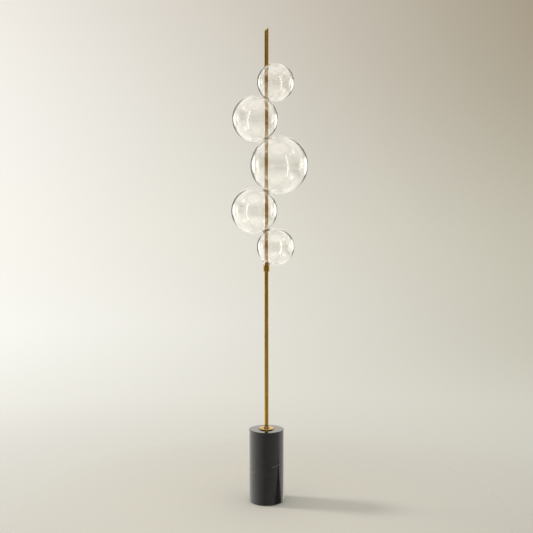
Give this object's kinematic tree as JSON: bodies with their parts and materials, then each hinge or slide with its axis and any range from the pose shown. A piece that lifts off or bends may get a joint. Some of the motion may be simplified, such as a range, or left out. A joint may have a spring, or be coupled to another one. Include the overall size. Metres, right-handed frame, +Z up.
{
  "type": "floor lamp",
  "caption": "Floor lamp with a round black stone base and a slim brass stem that threads off-centre through a stack of clear glass globes, lit from windows in the stem.",
  "frame": {"origin": "centre of the underside of the foot pad, on the stem's axis at floor level", "axes": "+Z up along the stem, +Y to the rear where the supply inlet is, +X towards the side that the bottom, middle and top globes stand out to"},
  "size_m": [0.3085, 0.232, 1.9009],
  "materials": {
    "black_stone": "polished black stone with thin gold veins",
    "brass": "brushed and lacquered brass",
    "clear_glass": "clear blown glass",
    "clear_silicone": "clear soft rings",
    "lens": "frosted warm white light window",
    "circuit": "white circuit strip with light chips",
    "aluminium": "plain extruded",
    "steel": "zinc plated",
    "black_rubber": "matt",
    "driver_case": "moulded",
    "terminal": "moulded",
    "wire": "insulated wire"
  },
  "bodies": {
    "stand": {"stone_base": "black_stone", "foot_pad": "black_rubber", "bottom_plate": "steel", "plate_inserts": "brass", "plate_screws": "steel", "inlet_bush": "black_rubber", "tie_tube": "steel", "clamp_washer": "steel", "clamp_nut": "steel", "foot_plug": "steel", "base_flange": "brass", "lower_stem": "brass", "stem_coupler": "steel", "support_collar": "brass", "collar_set_screw": "steel", "globe_seat": "clear_silicone", "upper_stem": "brass", "tip_plug": "brass", "strip_carrier": "aluminium", "stem_wires": "wire", "led_driver": "driver_case", "terminal_block": "terminal", "supply_leads": "wire", "bottom_window_lens": "lens", "bottom_light_strip": "circuit", "lower_window_lens": "lens", "lower_light_strip": "circuit", "middle_window_lens": "lens", "middle_light_strip": "circuit", "upper_window_lens": "lens", "upper_light_strip": "circuit", "top_window_lens": "lens", "top_light_strip": "circuit"},
    "bottom_globe": {"bottom_globe": "clear_glass", "bottom_globe_ring": "clear_silicone"},
    "lower_globe": {"lower_globe": "clear_glass", "lower_globe_ring": "clear_silicone"},
    "middle_globe": {"middle_globe": "clear_glass", "middle_globe_ring": "clear_silicone"},
    "upper_globe": {"upper_globe": "clear_glass", "upper_globe_ring": "clear_silicone"},
    "top_globe": {"top_globe": "clear_glass", "top_globe_ring": "clear_silicone"}
  },
  "joints": [
    {"name": "bottom_globe_lift", "type": "slide", "parent": "stand", "child": "bottom_globe", "axis": [0, 0, 1], "range_m": [0, 0.96]},
    {"name": "lower_globe_lift", "type": "slide", "parent": "bottom_globe", "child": "lower_globe", "axis": [0, 0, 1], "range_m": [0, 0.84]},
    {"name": "middle_globe_lift", "type": "slide", "parent": "lower_globe", "child": "middle_globe", "axis": [0, 0, 1], "range_m": [0, 0.68]},
    {"name": "upper_globe_lift", "type": "slide", "parent": "middle_globe", "child": "upper_globe", "axis": [0, 0, 1], "range_m": [0, 0.47]},
    {"name": "top_globe_lift", "type": "slide", "parent": "upper_globe", "child": "top_globe", "axis": [0, 0, 1], "range_m": [0, 0.31]}
  ]
}
